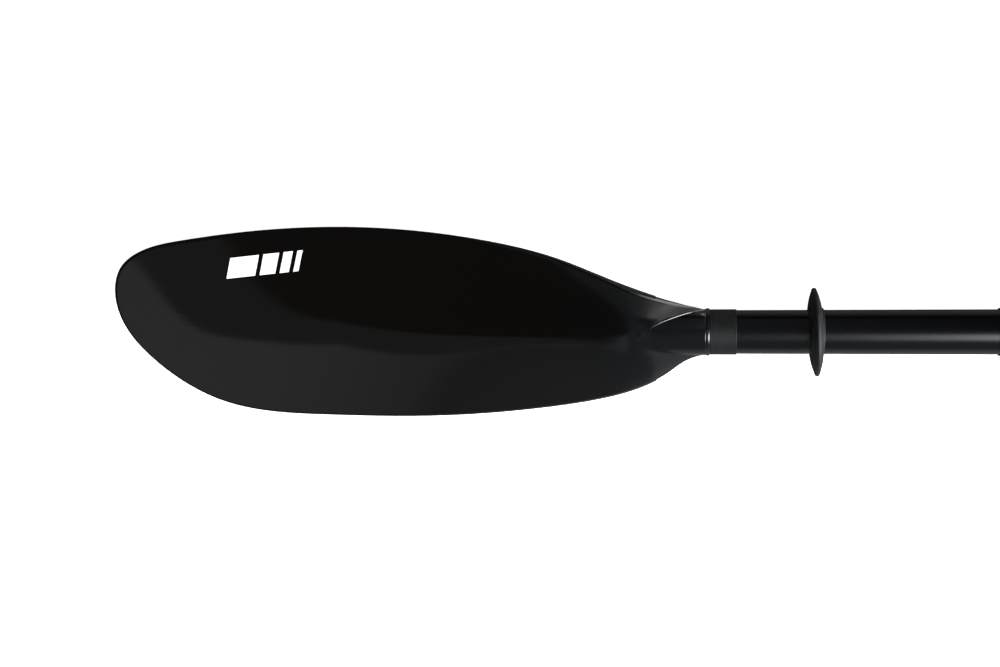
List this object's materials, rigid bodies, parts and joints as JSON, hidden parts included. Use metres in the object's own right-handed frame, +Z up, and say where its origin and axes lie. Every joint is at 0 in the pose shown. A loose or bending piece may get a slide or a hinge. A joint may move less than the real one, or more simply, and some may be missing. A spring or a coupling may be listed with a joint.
{
  "type": "take-apart touring paddle half",
  "caption": "Black one-bladed half of a take-apart kayak paddle: asymmetric blade, round shaft, sliding drip ring, grip sleeve and ferrule with snap button.",
  "frame": {"origin": "on the shaft's axis at the start of the ferrule's land, 2 mm past the shoulder where the other half of the paddle stops", "axes": "+X along the shaft and out of the ferrule, +Y towards the blade's long edge, +Z up, out of the blade's power face"},
  "size_m": [1.1802, 0.146, 0.06],
  "materials": {
    "blade_gloss": "glossy black laminate with a fine weave under clear resin",
    "blade_edge": "glossy black bonded edge",
    "print_white": "white printed film",
    "foam": "closed-cell foam",
    "resin_block": "cast dark resin",
    "bead_gloss": "glossy black adhesive bead",
    "tube_inner": "dark laminate tube",
    "band_satin": "satin black wrapped band with fine turns",
    "shaft_satin": "satin black shaft",
    "grip_skin": "thin matte black grip sleeve",
    "ring_rubber": "soft matte black rubber",
    "ferrule_satin": "ground satin black composite",
    "collar_gloss": "glossy black ring",
    "cap_plastic": "matte black moulded cap",
    "button_steel": "brushed stainless steel",
    "spring_steel": "spring steel strip"
  },
  "bodies": {
    "paddle": {"blade_front_skin": "blade_gloss", "blade_back_skin": "blade_gloss", "blade_rim": "blade_edge", "blade_decal": "print_white", "blade_core": "foam", "blade_root_block": "resin_block", "neck_bead": "bead_gloss", "neck_spigot": "tube_inner", "neck_spigot_plug": "foam", "joint_band": "band_satin", "shaft_tube": "shaft_satin", "shaft_plug_blade_end": "foam", "shaft_plug_ferrule_end": "foam", "grip_sleeve": "grip_skin", "ferrule_spigot": "ferrule_satin", "ferrule_collar": "collar_gloss", "ferrule_end_cap": "cap_plastic", "button_spring": "spring_steel"},
    "drip_ring": {"drip_ring": "ring_rubber"},
    "snap_button": {"snap_button": "button_steel"}
  },
  "joints": [
    {"name": "ring_slide", "type": "slide", "parent": "paddle", "child": "drip_ring", "axis": [1, 0, 0], "range_m": [-0.046, 0.108]},
    {"name": "button_press", "type": "slide", "parent": "paddle", "child": "snap_button", "axis": [0, 0, -1], "range_m": [0, 0.0045], "stiffness_N_per_m": 2000, "springref_m": -0.002, "deforming": ["button_spring"]}
  ]
}
